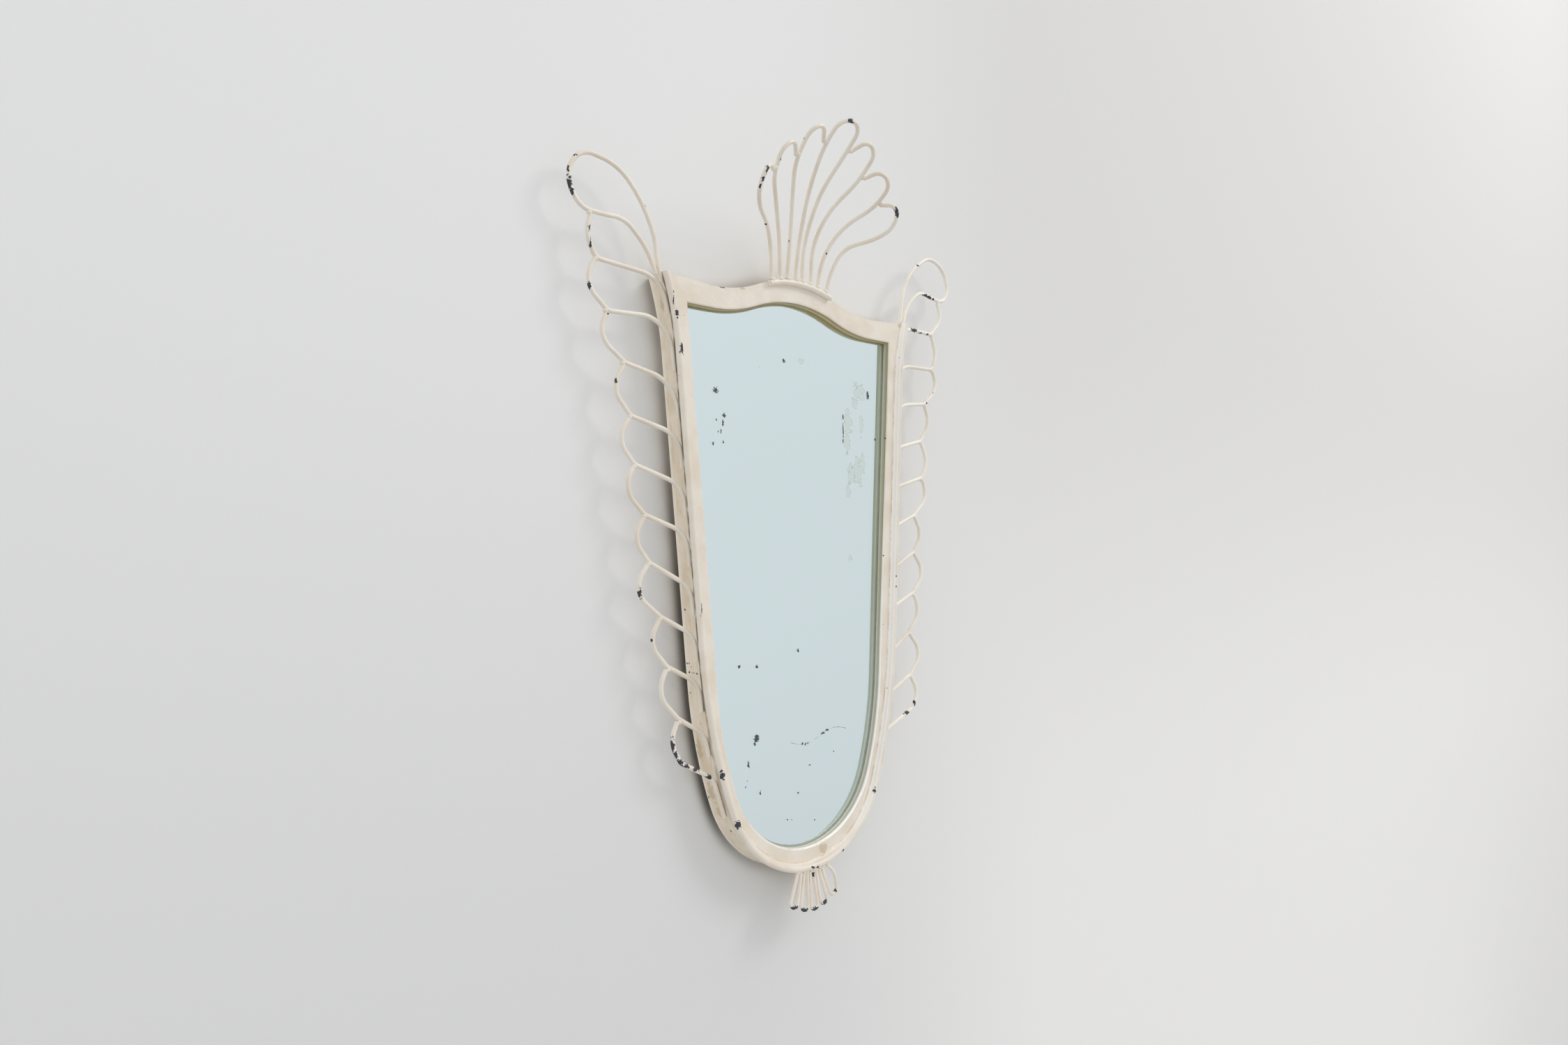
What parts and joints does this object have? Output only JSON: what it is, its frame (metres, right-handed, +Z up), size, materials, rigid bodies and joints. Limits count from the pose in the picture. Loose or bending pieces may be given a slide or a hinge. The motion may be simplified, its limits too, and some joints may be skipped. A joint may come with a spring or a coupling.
{
  "type": "wall mirror",
  "caption": "Tall shield-shaped wall mirror in a deep painted iron frame, with scalloped wire wings, a forward-curling wire crest and a small wire tail.",
  "frame": {"origin": "on the wall plane, midway between the two hanging holes", "axes": "+X to the right seen from the front, +Y into the wall, +Z up"},
  "size_m": [0.6152, 0.1302, 0.9037],
  "materials": {
    "face_enamel": "thick cream enamel over iron, chipped to the dark metal",
    "shell_enamel": "thick cream enamel over iron, chipped to the dark metal",
    "left_wing_enamel": "thick cream enamel over iron, chipped to the dark metal",
    "right_wing_enamel": "thick cream enamel over iron, chipped to the dark metal",
    "crest_enamel": "thick cream enamel over iron, chipped to the dark metal",
    "tail_enamel": "thick cream enamel over iron, chipped to the dark metal",
    "rebate_paint": "olive paint, dulled",
    "silvered_glass": "old silvering with dark spots and pale patches",
    "hardboard": "plain brown hardboard",
    "steel_buttons": "dull stamped steel",
    "steel_screws": "dull steel"
  },
  "bodies": {
    "frame": {"backing_board": "hardboard", "board_lugs": "shell_enamel", "crest_arch_centre": "crest_enamel", "crest_arch_left_inner": "crest_enamel", "crest_arch_left_middle": "crest_enamel", "crest_arch_left_outer": "crest_enamel", "crest_arch_right_inner": "crest_enamel", "crest_arch_right_middle": "crest_enamel", "crest_arch_right_outer": "crest_enamel", "crest_base_rod": "crest_enamel", "face_sides": "face_enamel", "face_top_rail": "face_enamel", "hanger_plates": "shell_enamel", "left_wing_wire_01": "left_wing_enamel", "left_wing_wire_02": "left_wing_enamel", "left_wing_wire_03": "left_wing_enamel", "left_wing_wire_04": "left_wing_enamel", "left_wing_wire_05": "left_wing_enamel", "left_wing_wire_06": "left_wing_enamel", "left_wing_wire_07": "left_wing_enamel", "left_wing_wire_08": "left_wing_enamel", "left_wing_wire_09": "left_wing_enamel", "left_wing_wire_10": "left_wing_enamel", "left_wing_wire_11": "left_wing_enamel", "left_wing_wire_12": "left_wing_enamel", "mirror_glass": "silvered_glass", "pivot_screws": "steel_screws", "rebate_sides": "rebate_paint", "rebate_top": "rebate_paint", "right_wing_wire_01": "right_wing_enamel", "right_wing_wire_02": "right_wing_enamel", "right_wing_wire_03": "right_wing_enamel", "right_wing_wire_04": "right_wing_enamel", "right_wing_wire_05": "right_wing_enamel", "right_wing_wire_06": "right_wing_enamel", "right_wing_wire_07": "right_wing_enamel", "right_wing_wire_08": "right_wing_enamel", "right_wing_wire_09": "right_wing_enamel", "right_wing_wire_10": "right_wing_enamel", "right_wing_wire_11": "right_wing_enamel", "right_wing_wire_12": "right_wing_enamel", "rim_bar": "face_enamel", "side_wall": "shell_enamel", "tail_loop_1": "tail_enamel", "tail_loop_2": "tail_enamel", "tail_loop_3": "tail_enamel", "tail_loop_4": "tail_enamel", "tail_loop_5": "tail_enamel", "top_wall": "shell_enamel"},
    "button_right_1": {"turn_button_right_1": "steel_buttons"},
    "button_left_1": {"turn_button_left_1": "steel_buttons"},
    "button_right_2": {"turn_button_right_2": "steel_buttons"},
    "button_left_2": {"turn_button_left_2": "steel_buttons"},
    "button_right_3": {"turn_button_right_3": "steel_buttons"},
    "button_left_3": {"turn_button_left_3": "steel_buttons"}
  },
  "joints": [
    {"name": "button_right_1_turn", "type": "hinge", "parent": "frame", "child": "button_right_1", "pos_m": [0.16332, -0.01555, -0.11223], "axis": [0, 1, 0], "range_deg": [-90, 90]},
    {"name": "button_left_1_turn", "type": "hinge", "parent": "frame", "child": "button_left_1", "pos_m": [-0.16332, -0.01555, -0.11223], "axis": [0, -1, 0], "range_deg": [-90, 90]},
    {"name": "button_right_2_turn", "type": "hinge", "parent": "frame", "child": "button_right_2", "pos_m": [0.1482, -0.01555, -0.30871], "axis": [0, 1, 0], "range_deg": [-90, 90]},
    {"name": "button_left_2_turn", "type": "hinge", "parent": "frame", "child": "button_left_2", "pos_m": [-0.1482, -0.01555, -0.30871], "axis": [0, -1, 0], "range_deg": [-90, 90]},
    {"name": "button_right_3_turn", "type": "hinge", "parent": "frame", "child": "button_right_3", "pos_m": [0.12501, -0.01555, -0.4977], "axis": [0, 1, 0], "range_deg": [-90, 90]},
    {"name": "button_left_3_turn", "type": "hinge", "parent": "frame", "child": "button_left_3", "pos_m": [-0.12501, -0.01555, -0.4977], "axis": [0, -1, 0], "range_deg": [-90, 90]}
  ]
}
